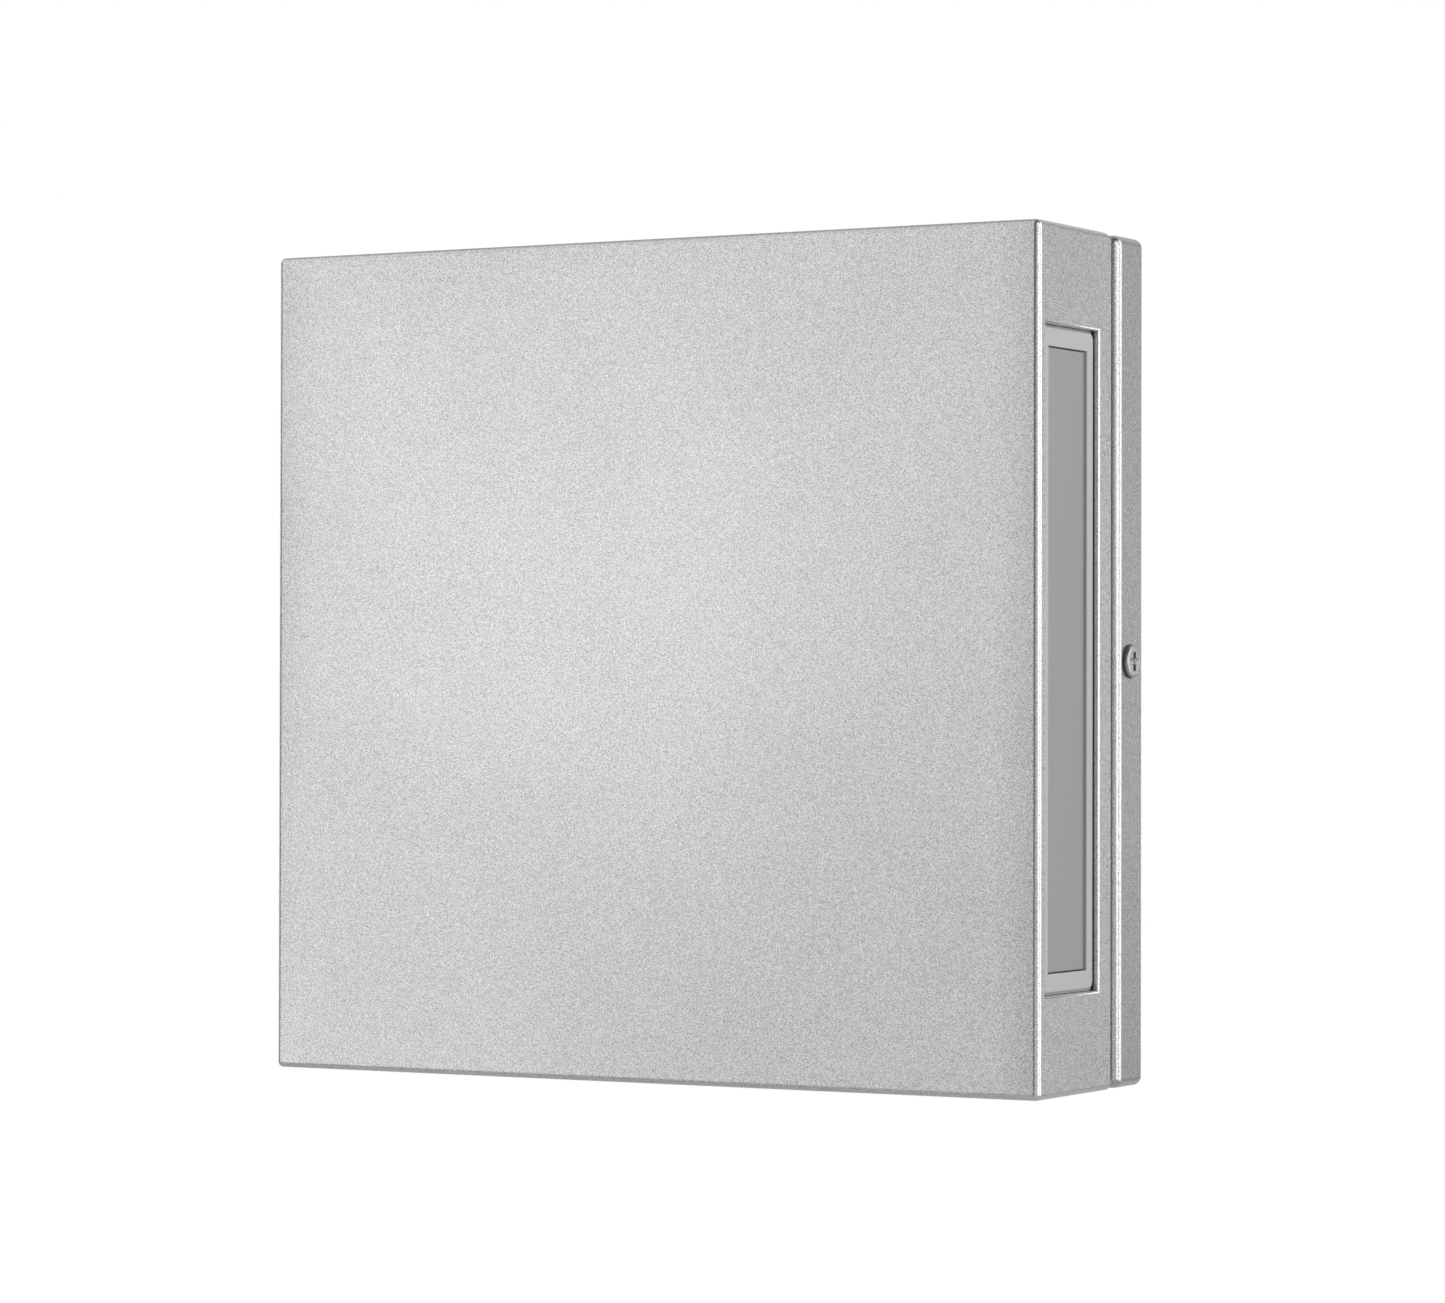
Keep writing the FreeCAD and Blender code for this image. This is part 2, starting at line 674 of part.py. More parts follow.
def lead_route():
    """Corners of the right-hand lead's route, from inside the driver to the connector."""
    y, z = lead_exit()
    x = LEAD_DROP
    near = COVER_FRONT - LEAD_CLIP_HEIGHT
    level = WINDOW_MID_Y
    end_x = BOARD_X1 + CONNECTOR[0] / 2
    end_z = CONNECTOR_INSET - BOARD_Z
    floor = SHEET - HALF_H + LEAD_SWING_TO_FLOOR
    short = LEAD_SWING * (1 - math.tan(math.pi / 8))
    fall = (floor + short + 13.5 - (z - 25.0)) / 5
    swing_x = end_x - 2 * LEAD_SWING
    return [
        Vector(DRIVER_LENGTH / 2 - LEAD_INSIDE_DRIVER, y, z),
        Vector(DRIVER_LENGTH / 2 + 7.0, y, z),
        Vector(x - 0.5, (y + near) / 2, z - 9.0),
        Vector(x, near, z - 25.0),
        Vector(x - 0.4, near, z - 25.0 + fall),
        Vector(x + 0.4, near - 0.5, z - 25.0 + 2 * fall),
        Vector(x - 0.3, near - 4.0, z - 25.0 + 3 * fall),
        Vector(x + 0.3, (near + level) / 2 - 2.0, z - 25.0 + 4 * fall),
        Vector(swing_x, level + 1.0, floor + short + 13.5),
        Vector(swing_x, level, floor + short),
        Vector(swing_x + short, level, floor),
        Vector(end_x - short, level, floor),
        Vector(end_x, level, floor + short),
        Vector(end_x + 0.7, level, (floor + short + end_z) / 2),
        Vector(end_x, level, end_z),
    ]


def led_lead():
    """Lead from the driver to the connector of the right-hand board."""
    points = lead_route()
    path, radii = lead_path(points)
    ring = Part.Wire(Part.makeCircle(LEAD_RADIUS, points[0], points[1] - points[0]))
    lead = path.makePipeShell([ring], True, True)
    share = lead.Volume / (math.pi * LEAD_RADIUS**2 * path.Length)
    runs = [round((b - a).Length, 1) for a, b in zip(points, points[1:])]
    print(f"led lead: length {path.Length:.1f}, runs {runs}, radii {radii}, volume share {share:.4f}")
    x, y, z = points[-1]
    reach = 2 * LEAD_RADIUS
    return lead.cut(box(x - reach, x + reach, y - reach, y + reach, z, z + reach))


def lead_clips():
    """Clips on the rear cover that hold each lead in the middle of two of its runs."""
    route = lead_route()
    outer = LEAD_RADIUS + CLIP_WALL
    half = CLIP_LENGTH / 2
    clips = []
    for start, end in zip(route[3:5], route[4:6]):
        x, y, z = (start + end) * 0.5
        block = box(x - outer, x + outer, y - outer, COVER_FRONT, z - half, z + half)
        foot_y = COVER_FRONT - CLIP_WALL
        foot = box(x - CLIP_FOOT / 2, x + outer, foot_y, COVER_FRONT, z - half, z + half)
        hole = rod(LEAD_RADIUS + CLIP_GAP, Vector(x, y, z - CLIP_LENGTH), Z_AXIS, 2 * CLIP_LENGTH)
        clips.append(block.fuse(foot).cut(hole).removeSplitter())
    return group(clips + [c.mirror(Vector(), X_AXIS) for c in clips])


# ---- nipple across the shadow gap -------------------------------------------


def nipple_ends():
    """Front and rear end of the nipple along Y."""
    grip = NIPPLE_SEAL + NIPPLE_NUT_HEIGHT + NIPPLE_SPARE
    return COVER_FRONT - grip, PAN_INNER + grip


def cable_nipple():
    y0, y1 = nipple_ends()
    tube = rod(NIPPLE_RADIUS, Vector(0, y0, 0), Y_AXIS, y1 - y0)
    return tube.cut(rod(NIPPLE_BORE, Vector(0, y0, 0), Y_AXIS, y1 - y0))


def nipple_nuts():
    nuts = []
    for y, way in ((COVER_FRONT - NIPPLE_SEAL, -Y_AXIS), (PAN_INNER + NIPPLE_SEAL, Y_AXIS)):
        nut = hex_prism(NIPPLE_NUT_FLATS, NIPPLE_NUT_HEIGHT)
        nut = nut.cut(Part.makeCylinder(NIPPLE_RADIUS + THREAD_GAP, NIPPLE_NUT_HEIGHT))
        nuts.append(placed(nut, Vector(0, y, 0), way))
    return group(nuts)


def nipple_seals():
    """Rubber washers under the nipple nuts."""
    seals = []
    for y in (COVER_FRONT - NIPPLE_SEAL, PAN_INNER):
        washer = rod(NIPPLE_SEAL_RADIUS, Vector(0, y, 0), Y_AXIS, NIPPLE_SEAL)
        seals.append(washer.cut(rod(NIPPLE_RADIUS + THREAD_GAP, Vector(0, y, 0), Y_AXIS, NIPPLE_SEAL)))
    return group(seals)


def nipple_spacer():
    """Sleeve on the nipple that carries the clamping load across the shadow gap."""
    length = PAN_FRONT - COVER_REAR
    at = Vector(0, COVER_REAR, 0)
    sleeve = rod(NIPPLE_SEAL_RADIUS, at, Y_AXIS, length)
    return sleeve.cut(rod(NIPPLE_RADIUS + CLEARANCE, at, Y_AXIS, length))


def nipple_bushings():
    """Plastic rings on the nipple's ends that guard the wires from its rim."""
    y0, y1 = nipple_ends()
    bushings = []
    for y in (y0 - BUSHING_LIP, y1):
        at = Vector(0, y, 0)
        ring = rod(NIPPLE_RADIUS, at, Y_AXIS, BUSHING_LIP)
        bushings.append(ring.cut(rod(NIPPLE_BORE, at, Y_AXIS, BUSHING_LIP)))
    return group(bushings)


# ---- wall unit --------------------------------------------------------------


def back_pan():
    pan = folded_tray(PAN_FRONT, 0, PAN_BEND, PAN_REAR_ROUND)
    cuts = [rod(NIPPLE_RADIUS + CLEARANCE, Vector(0, PAN_FRONT - 1, 0), Y_AXIS, SHEET + 2)]
    for x, z in corner_places(SPACER_X, SPACER_Z):
        cuts.append(rod(M4[0] + CLEARANCE, Vector(x, PAN_FRONT - 1, z), Y_AXIS, SHEET + 2))
    for sign in (1, -1):
        at = Vector(sign * (HALF_W + 1), -RELEASE_SCREW_TO_WALL, 0)
        cuts.append(rod(M4[0] + CLEARANCE, at, -sign * X_AXIS, SHEET + 2))
        weep = Vector(sign * WEEP_AT, -PAN_DEPTH / 2, -HALF_H - 1)
        cuts.append(rod(WEEP_RADIUS, weep, Z_AXIS, SHEET + 2))
    return pan.cut(cuts)


def spacers():
    length = PAN_FRONT - COVER_REAR
    rings = []
    for x, z in corner_places(SPACER_X, SPACER_Z):
        at = Vector(x, COVER_REAR, z)
        ring = rod(SPACER_RADIUS, at, Y_AXIS, length)
        rings.append(ring.cut(rod(M4[0] + CLEARANCE, at, Y_AXIS, length)))
    return group(rings)


def spacer_screws():
    length = PAN_INNER - COVER_FRONT + CLINCH_HEIGHT + SCREW_SPARE
    return group(
        [
            placed(pan_screw(M4, length), Vector(x, PAN_INNER, z), Y_AXIS)
            for x, z in corner_places(SPACER_X, SPACER_Z)
        ]
    )


def clinch_nuts():
    nuts = []
    for x, z in corner_places(SPACER_X, SPACER_Z):
        front = Vector(x, COVER_FRONT - CLINCH_HEIGHT, z)
        nut = rod(CLINCH_RADIUS, front, Y_AXIS, CLINCH_HEIGHT)
        nut = nut.fuse(rod(CLINCH_SPIGOT_RADIUS, front, Y_AXIS, CLINCH_HEIGHT + COVER))
        bore = rod(M4[0] + THREAD_GAP, front, Y_AXIS, CLINCH_HEIGHT + COVER)
        nuts.append(nut.cut(bore).removeSplitter())
    return group(nuts)


def slot(x, z, along_x):
    """Cutter for a slot through the bracket, centred on a place."""
    run = SLOT_LENGTH / 2 - SLOT_HALF_WIDTH
    step = Vector(run, 0, 0) if along_x else Vector(0, 0, run)
    at = Vector(x, -BRACKET - 1, z)
    side = SLOT_HALF_WIDTH
    dx, dz = (run, side) if along_x else (side, run)
    middle = box(x - dx, x + dx, -BRACKET - 1, 1, z - dz, z + dz)
    ends = [rod(side, at + step, Y_AXIS, BRACKET + 2), rod(side, at - step, Y_AXIS, BRACKET + 2)]
    return middle.fuse(ends)


def mounting_bracket():
    """Steel plate for the outlet box, with an arm and a tapped ear at each side."""
    half = BRACKET_CENTRE / 2
    plate = box(-half, half, -BRACKET, 0, -half, half)
    plate = plate.makeChamfer(BRACKET_CHAMFER, edges_along(plate, Y_AXIS))
    taper = (BRACKET_ARM - BRACKET_EAR_HEIGHT) / 2
    reach = EAR_OUTER_X - taper
    arm = box(-reach, reach, -BRACKET, 0, -BRACKET_ARM / 2, BRACKET_ARM / 2)
    arm = arm.makeChamfer(taper, edges_along(arm, Y_AXIS))
    half_ear = BRACKET_EAR_HEIGHT / 2
    neck = box(-EAR_OUTER_X, EAR_OUTER_X, -BRACKET, 0, -half_ear, half_ear)
    bracket = plate.fuse([arm, neck])
    for sign in (1, -1):
        inner = sign * (EAR_OUTER_X - BRACKET)
        outer = sign * EAR_OUTER_X
        ear = box(
            min(inner, outer),
            max(inner, outer),
            -BRACKET_EAR_REACH,
            0,
            -half_ear,
            half_ear,
        )
        bracket = bracket.fuse(ear)
    bracket = bracket.removeSplitter()
    bends = edges_along(
        bracket, Z_AXIS, lambda m: abs(m.y) < 1e-6 and abs(abs(m.x) - EAR_OUTER_X) < 1e-6
    )
    bracket = bracket.makeFillet(BRACKET_BEND, bends)
    tips = edges_along(bracket, X_AXIS, lambda m: m.y < -BRACKET_EAR_REACH + 1e-6)
    bracket = bracket.makeFillet(BRACKET_BEND, tips)
    cuts = [rod(BRACKET_WIRE_HOLE, Vector(0, -BRACKET - 1, 0), Y_AXIS, BRACKET + 2)]
    for sign in (1, -1):
        cuts.append(slot(sign * SLOT_SPACING / 2, 0, True))
        cuts.append(slot(0, sign * SLOT_SPACING / 2, False))
        at = Vector(sign * (EAR_OUTER_X + 1), -RELEASE_SCREW_TO_WALL, 0)
        cuts.append(rod(M4[0] + THREAD_GAP, at, -sign * X_AXIS, BRACKET + 2))
    x, z = GROUND_SCREW_AT
    cuts.append(rod(M4[0] + THREAD_GAP, Vector(x, -BRACKET - 1, z), Y_AXIS, BRACKET + 2))
    return bracket.cut(cuts)


def ground_screw():
    x, z = GROUND_SCREW_AT
    return placed(pan_screw(M4, BRACKET), Vector(x, -BRACKET, z), -Y_AXIS)


def release_screw():
    """Wide-headed screw through the pan's side wall into the tapped ear of the bracket."""
    screw = wafer_screw(M4[0], RELEASE_SCREW_LENGTH)
    return placed(screw, Vector(HALF_W + WASHER, -RELEASE_SCREW_TO_WALL, 0), X_AXIS)


def screw_washer():
    """Rubber washer that seals the release screw against the pan."""
    at = Vector(HALF_W, -RELEASE_SCREW_TO_WALL, 0)
    return rod(WASHER_RADIUS, at, X_AXIS, WASHER).cut(rod(M4[0] + THREAD_GAP, at, X_AXIS, WASHER))


SINGLE = {
    "front_housing": front_housing,
    "corner_tabs": corner_tabs,
    "rear_cover": rear_cover,
    "cover_seal": cover_seal,
    "cover_screws": cover_screws,
    "light_bar_screws": foot_screws,
    "driver_case": driver_case,
    "driver_lid": driver_lid,
    "driver_screws": driver_screws,
    "lead_clips": lead_clips,
    "cable_nipple": cable_nipple,
    "nipple_nuts": nipple_nuts,
    "nipple_seals": nipple_seals,
    "nipple_spacer": nipple_spacer,
    "nipple_bushings": nipple_bushings,
    "back_pan": back_pan,
    "spacers": spacers,
    "spacer_screws": spacer_screws,
    "clinch_nuts": clinch_nuts,
    "mounting_bracket": mounting_bracket,
    "ground_screw": ground_screw,
}
HANDED = {
    "lens_frame": lens_frame,
    "diffuser": diffuser,
    "lens_gasket": lens_gasket,
    "retainer": retainer,
    "weld_studs": weld_studs,
    "retainer_nuts": retainer_nuts,
    "light_bar": light_bar,
    "led_board": led_board,
    "leds": leds,
    "board_connector": board_connector,
    "board_screws": board_screws,
    "led_lead": led_lead,
    "release_screw": release_screw,
    "screw_washer": screw_washer,
}


def save(name, shape):
    if not shape.isValid() or any(s.Volume <= 0 for s in shape.Solids) or not shape.Solids:
        raise ValueError(f"{name} is not a sound solid")
    shape.exportStep(f"parts/{name}.step")


def main():
    os.makedirs("parts", exist_ok=True)
    for name, make in SINGLE.items():
        save(name, make())
    for name, make in HANDED.items():
        shape = make()
        save(f"right_{name}", shape)
        save(f"left_{name}", shape.mirror(Vector(), X_AXIS))


main()
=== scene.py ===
"""Looks for a square outdoor wall lantern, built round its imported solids."""

import json
import math

import bmesh
import bpy
from bpy.props import FloatProperty, FloatVectorProperty, PointerProperty
from mathutils import Matrix, Vector


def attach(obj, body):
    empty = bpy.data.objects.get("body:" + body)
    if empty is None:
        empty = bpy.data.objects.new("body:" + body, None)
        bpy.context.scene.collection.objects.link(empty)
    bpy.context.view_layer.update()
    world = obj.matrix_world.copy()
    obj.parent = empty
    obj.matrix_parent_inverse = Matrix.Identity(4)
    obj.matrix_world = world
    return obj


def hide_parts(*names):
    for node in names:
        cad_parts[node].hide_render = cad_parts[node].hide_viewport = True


bl_info = {
    "name": "Square wall lantern",
    "version": (1, 0, 0),
    "blender": (4, 5, 0),
    "location": "View3D > Sidebar > Lantern",
    "description": "Builds the folded housing, lenses, fixings and finishes of a square wall lantern",
    "category": "Object",
}

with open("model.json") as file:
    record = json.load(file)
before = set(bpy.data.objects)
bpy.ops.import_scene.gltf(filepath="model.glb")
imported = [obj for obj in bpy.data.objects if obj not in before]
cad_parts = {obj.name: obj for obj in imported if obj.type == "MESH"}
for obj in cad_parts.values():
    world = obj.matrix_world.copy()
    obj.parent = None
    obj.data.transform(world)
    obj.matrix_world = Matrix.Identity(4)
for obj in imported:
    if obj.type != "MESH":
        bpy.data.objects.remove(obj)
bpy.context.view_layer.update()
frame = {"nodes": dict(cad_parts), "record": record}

MM = 0.001
SIDES = ("right", "left")

# Powder coat: features in a metre, and depth of its relief
GRAIN_SCALE = 4200.0
CLOUD_SCALE = 9.0
PIT_SCALE = 150.0
COAT_RELIEF = 0.03 * MM

# Spangles of the galvanised plate in a metre
SPANGLE_SCALE = 140.0

# Joining a solid's triangles into whole faces
WELD_DISTANCE = 2e-6
FLAT_ANGLE = math.radians(0.6)
SHARP_ANGLE = math.radians(40.0)

FLOOR_RADIUS = 1.6
FLOOR_HEIGHT = -0.5


# ---- sizes and colours a user may change ------------------------------------


def length(name, description, millimetres):
    """A length property, kept in metres."""
    return FloatProperty(
        name=name,
        description=description,
        default=millimetres * MM,
        min=0.0,
        unit="LENGTH",
        precision=5,
    )


def colour(name, description, rgb):
    """A colour property."""
    return FloatVectorProperty(
        name=name, description=description, default=rgb, size=3, min=0.0, max=1.0, subtype="COLOR"
    )


def factor(name, description, value):
    """A property from 0 to 1."""
    return FloatProperty(
        name=name, description=description, default=value, min=0.0, max=1.0, subtype="FACTOR"
    )


def angle(name, description, degrees):
    """An angle property, kept in radians."""
    return FloatProperty(
        name=name, description=description, default=math.radians(degrees), subtype="ANGLE"
    )


class LanternSizes(bpy.types.PropertyGroup):
    cut_edge: length("Cut edge", "Paint radius on the sheet's cut edges", 0.22)
    soft_edge: length("Soft edge", "Radius on the moulded lens frame's edges", 0.35)
    machined_edge: length("Machined edge", "Radius on the edges of nuts, screws and spacers", 0.12)


class LanternFinish(bpy.types.PropertyGroup):
    paint: colour("Paint", "Colour of the silver powder coat", (0.6, 0.6, 0.6))
    # Painted shade: the pan's coat is the housing's silver coat made darker, so the pan's walls look
    # dimmer
    pan_paint: colour("Pan paint", "Colour of the wall pan's powder coat", (0.5, 0.5, 0.5))
    pan_lean: FloatProperty(
        name="Pan lean", description="Slope of the pan's walls in the coat's relief", default=0.05
    )
    crown: FloatProperty(
        name="Crown", description="How fast the front panel falls away by its bends", default=1.45
    )
    crown_start: length("Crown start", "Where the front panel starts to fall away", 113.0)
    paint_roughness: factor("Paint roughness", "Roughness of the powder coat", 0.22)
    paint_metallic: factor("Paint metallic", "How metallic the powder coat is", 0.85)
    lens_frame: colour("Lens frame", "Colour of the moulded lens frame", (0.47, 0.47, 0.485))
    # The diffuser is opaque; its grey is the opal's own colour darkened as painted shade of the dark
    # inside seen through it
    diffuser: colour("Diffuser", "Colour of the unlit diffuser", (0.3068, 0.3068, 0.30992))
    steel: colour("Steel", "Colour of plated steel", (0.6, 0.61, 0.62))
    aluminium: colour("Aluminium", "Colour of bare aluminium", (0.74, 0.74, 0.75))


class LanternStage(bpy.types.PropertyGroup):
    lens: FloatProperty(
        name="Lens", description="Focal length of the camera, in millimetres", default=120.58
    )
    yaw: angle("Yaw", "Turn of the camera round the lantern", 29.2)
    pitch: angle("Pitch", "Height angle of the camera", -0.681)
    roll: angle("Roll", "Roll of the camera", 0.114)
    camera: FloatVectorProperty(
        name="Camera",
        description="Place of the camera",
        default=(0.7025, -1.2773, -0.0139),
        size=3,
        subtype="XYZ",
    )
    near_lamp: FloatProperty(
        name="Near lamp", description="Power of the lamp by the front", default=0.023, unit="POWER"
    )


# ---- shader graphs ----------------------------------------------------------


class Value:
    """A socket of a shader graph that can be used in arithmetic."""

    def __init__(self, graph, socket):
        self.graph = graph
        self.socket = socket

    def __add__(self, other):
        return self.graph.math("ADD", self, other)

    __radd__ = __add__

    def __sub__(self, other):
        return self.graph.math("SUBTRACT", self, other)

    def __rsub__(self, other):
        return self.graph.math("SUBTRACT", other, self)

    def __mul__(self, other):
        return self.graph.math("MULTIPLY", self, other)

    __rmul__ = __mul__


class Graph:
    """Node graph of one material or of the room."""

    def __init__(self, tree, place="Object"):
        self.tree = tree
        self.tree.nodes.clear()
        self.place = self.add("TexCoord", {}, {}, place)

    @classmethod
    def of_material(cls, name):
        """The graph of a new material, and that material."""
        material = bpy.data.materials.new(name)
        material.use_nodes = True
        return cls(material.node_tree), material

    def add(self, kind, settings, inputs, output=0):
        """Adds a node of a type, with its settings and then its inputs, and returns one output."""
        node = self.tree.nodes.new(f"ShaderNode{kind}")
        for key, value in settings.items():
            setattr(node, key, value)
        for key, value in inputs.items():
            socket = node.inputs[key]
            if isinstance(value, Value):
                self.tree.links.new(value.socket, socket)
            elif value is not None:
                socket.default_value = value
        return Value(self, node.outputs[output]) if node.outputs else None

    def math(self, operation, *values):
        """One step of arithmetic."""
        return self.add("Math", {"operation": operation}, dict(enumerate(values)))

    def noise(self, scale, detail=2.0, stretch=(1.0, 1.0, 1.0)):
        """Cloudy texture with so many features in a metre."""
        place = self.add("Mapping", {}, {"Vector": self.place, "Scale": stretch})
        return self.add("TexNoise", {}, {"Vector": place, "Scale": scale, "Detail": detail})

    def cells(self, scale, output):
        """Cells about a point each: the distance from it, or the cell's own colour."""
        return self.add("TexVoronoi", {"feature": "F1"}, {"Vector": self.place, "Scale": scale}, output)

    def step(self, value, low, high):
        """0 below low, 1 above high, smooth between."""
        return self.add(
            "MapRange",
            {"interpolation_type": "SMOOTHSTEP"},
            {"Value": value, "From Min": low, "From Max": high},
        )

    def blend(self, amount, a, b):
        """Mix of two colours."""
        return self.add(
            "Mix", {"data_type": "RGBA"}, {"Factor": amount, "A": rgba(a), "B": rgba(b)}, "Result"
        )

    def bump(self, height, depth, strength=1.0, after=None):
        """Relief of a height texture, on top of another relief."""
        return self.add(
            "Bump",
            {},
            {"Height": height, "Distance": depth, "Strength": strength, "Normal": after},
            "Normal",
        )

    def finish(self, **inputs):
        """Closes the graph with one surface shader."""
        named = {key.replace("_", " "): value for key, value in inputs.items()}
        surface = self.add("BsdfPrincipled", {}, named)
        self.add("OutputMaterial", {}, {"Surface": surface})


def rgba(value):
    """A colour with its alpha, or a socket as it is."""
    return value if isinstance(value, Value) else (*value, 1.0)


def shade(rgb, amount):
    """A colour made lighter or darker."""
    return tuple(min(1.0, c * amount) for c in rgb)


def powder_coat(name, finish, paint, lean=0.0):
    """Silver powder coat: sandy texture, slight clouding, a few dark pits and a slow relief."""
    g, material = Graph.of_material(name)
    grain = g.noise(GRAIN_SCALE, 0.0)
    cloud = g.noise(CLOUD_SCALE, 3.0)
    tone = 0.5 + 2.3 * (grain - 0.5) + 0.35 * (cloud - 0.5)
    base = g.blend(tone, shade(paint, 0.6), shade(paint, 1.4))
    few = g.step(g.cells(PIT_SCALE, "Color"), 0.78, 0.8)
    pit = (1 - g.step(g.cells(PIT_SCALE, "Distance"), 0.03, 0.06)) * few
    across = g.add("SeparateXYZ", {}, {"Vector": g.place}, "X")
    inward = g.add("SeparateXYZ", {}, {"Vector": g.place}, "Y")
    beside = g.math("MAXIMUM", g.math("ABSOLUTE", across) - finish.crown_start, 0.0)
    form = g.bump(-finish.crown * beside * beside - lean * inward, 1.0)
    g.finish(
        Base_Color=g.blend(pit * 0.8, base, shade(paint, 0.2)),
        Metallic=finish.paint_metallic,
        Roughness=finish.paint_roughness + 0.12 * (grain - 0.5),
        Normal=g.bump(grain - 0.6 * pit, COAT_RELIEF, 0.08, form),
    )
    return material


def moulded(name, rgb, roughness, grain=900.0, depth=0.012, streak=0.0):
    """Moulded plastic with a fine texture and faint flow marks."""
    g, material = Graph.of_material(name)
    fine = g.noise(grain, 2.0)
    flow = g.noise(14.0, 3.0, (1.0, 1.0, 0.25))
    tone = 0.5 + 0.5 * (fine - 0.5) + (0.7 + streak) * (flow - 0.5)
    g.finish(
        Base_Color=g.blend(tone, shade(rgb, 0.93), shade(rgb, 1.07)),
        Roughness=roughness + 0.1 * (flow - 0.5),
        Normal=g.bump(fine, depth * MM, 0.5),
    )
    return material


def rolled_metal(name, rgb, roughness, stretch, scale=260.0, spangle=0.0):
    """Bare or plated metal with rolling or turning lines, and spangles where it is galvanised."""
    g, material = Graph.of_material(name)
    lines = g.noise(scale, 3.0, stretch)
    stain = g.noise(22.0, 4.0)
    tone = 0.5 + 0.9 * (lines - 0.5) + 0.6 * (stain - 0.5)
    if spangle:
        tone = tone + spangle * (g.cells(SPANGLE_SCALE, "Color") - 0.5)
    g.finish(
        Base_Color=g.blend(tone, shade(rgb, 0.8), shade(rgb, 1.12)),
        Metallic=1.0,
        Roughness=roughness + 0.22 * (stain - 0.5) + 0.12 * (lines - 0.5),
        Normal=g.bump(lines, 0.01 * MM, 0.5),
    )
    return material


def rubber(name, rgb):
    """Soft moulded rubber with a dusty bloom."""
    g, material = Graph.of_material(name)
    fine = g.noise(1500.0, 2.0)
    bloom = g.noise(60.0, 4.0)
    g.finish(
        Base_Color=g.blend(0.5 + 0.9 * (bloom - 0.5), shade(rgb, 0.7), shade(rgb, 1.5)),
        Roughness=0.7 + 0.2 * (bloom - 0.5),
        Normal=g.bump(fine, 0.02 * MM, 0.6),
    )
    return material


def circuit_board(name):
    """White solder mask with faint copper tracks under it."""
    g, material = Graph.of_material(name)
    tracks = g.noise(90.0, 1.0, (1.0, 0.05, 2.0))
    fine = g.noise(1200.0, 2.0)
    edge = g.step(tracks, 0.5, 0.53)
    g.finish(
        Base_Color=g.blend(edge, (0.82, 0.82, 0.79), (0.74, 0.745, 0.72)),
        Roughness=0.34 + 0.1 * (fine - 0.5),
        Normal=g.bump(edge, 0.03 * MM, 0.6),
    )
    return material


def phosphor(name):
    """Yellow phosphor of an unlit LED, grainy under clear resin."""
    g, material = Graph.of_material(name)
    grains = g.noise(2600.0, 3.0)
    g.finish(
        Base_Color=g.blend(grains, (0.78, 0.62, 0.16), (0.95, 0.84, 0.4)),
        Roughness=0.3 + 0.2 * (grains - 0.5),
        Coat_Weight=0.6,
        Coat_Roughness=0.08,
        Normal=g.bump(grains, 0.01 * MM, 0.4),
    )
    return material


MATERIALS = {}


def make_materials(finish):
    """Makes one material for each slot, and a darker copy of the silver coat for the wall pan, as
    painted shade.
    """
    steel = tuple(finish.steel)
    aluminium = tuple(finish.aluminium)
    MATERIALS.update(
        silver_paint=powder_coat("silver_paint", finish, tuple(finish.paint)),
        # Wall pan: the silver coat darkened as painted shade, with its walls leaning in the relief
        pan_paint=powder_coat("pan_paint", finish, tuple(finish.pan_paint), finish.pan_lean),
        lens_grey=moulded("lens_grey", tuple(finish.lens_frame), 0.42),
        # Opal diffuser: its grey is partly its own colour, partly painted shade of the lantern's dark
        # inside behind it
        opal=moulded("opal", tuple(finish.diffuser), 0.3, 500.0, 0.006, 0.5),
        silicone=rubber("silicone", (0.035, 0.035, 0.037)),
        aluminium_sheet=rolled_metal("aluminium_sheet", aluminium, 0.34, (1.0, 1.0, 0.04)),
        zinc_steel=rolled_metal("zinc_steel", steel, 0.3, (1.0, 0.2, 1.0), 500.0),
        stainless=rolled_metal("stainless", shade(steel, 0.75), 0.36, (1.0, 1.0, 0.3), 700.0),
        galvanised=rolled_metal("galvanised", shade(steel, 0.95), 0.42, (0.2, 1.0, 1.0), 200.0, 0.8),
        board_white=circuit_board("board_white"),
        led_yellow=phosphor("led_yellow"),
        connector_white=moulded("connector_white", (0.8, 0.79, 0.74), 0.35),
        driver_white=moulded("driver_white", (0.76, 0.76, 0.75), 0.5, 700.0, 0.03),
        clip_black=moulded("clip_black", (0.022, 0.022, 0.023), 0.45),
        lead_sheath=rubber("lead_sheath", (0.05, 0.05, 0.054)),
        green_screw=rolled_metal("green_screw", (0.05, 0.26, 0.09), 0.3, (1.0, 0.2, 1.0), 500.0),
    )


# ---- mesh helpers -----------------------------------------------------------


def slot_of(node):
    """The material slot that the record gives a solid."""
    for entry in frame["record"]["subparts"]:
        if entry["node"] == node:
            return entry["material_slot"]
    raise ValueError(f"{node} has no material slot")


def body_of(node):
    """The moving body that a solid belongs to."""
    for body, nodes in frame["record"]["behaviour"]["bodies"].items():
        if node in nodes:
            return body
    raise ValueError(f"{node} is in no body")


def add_piece(name, mesh, node, finish=None):
    """Puts a finished mesh in the scene in place of a solid, with that solid's finish and body."""
    piece = bpy.data.objects.new(name, mesh)
    bpy.context.scene.collection.objects.link(piece)
    slot = slot_of(node)
    mesh.materials.clear()
    mesh.materials.append(MATERIALS[finish or slot])
    mesh.polygons.foreach_set("use_smooth", [True] * len(mesh.polygons))
    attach(piece, body_of(node))
    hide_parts(node)
    return piece


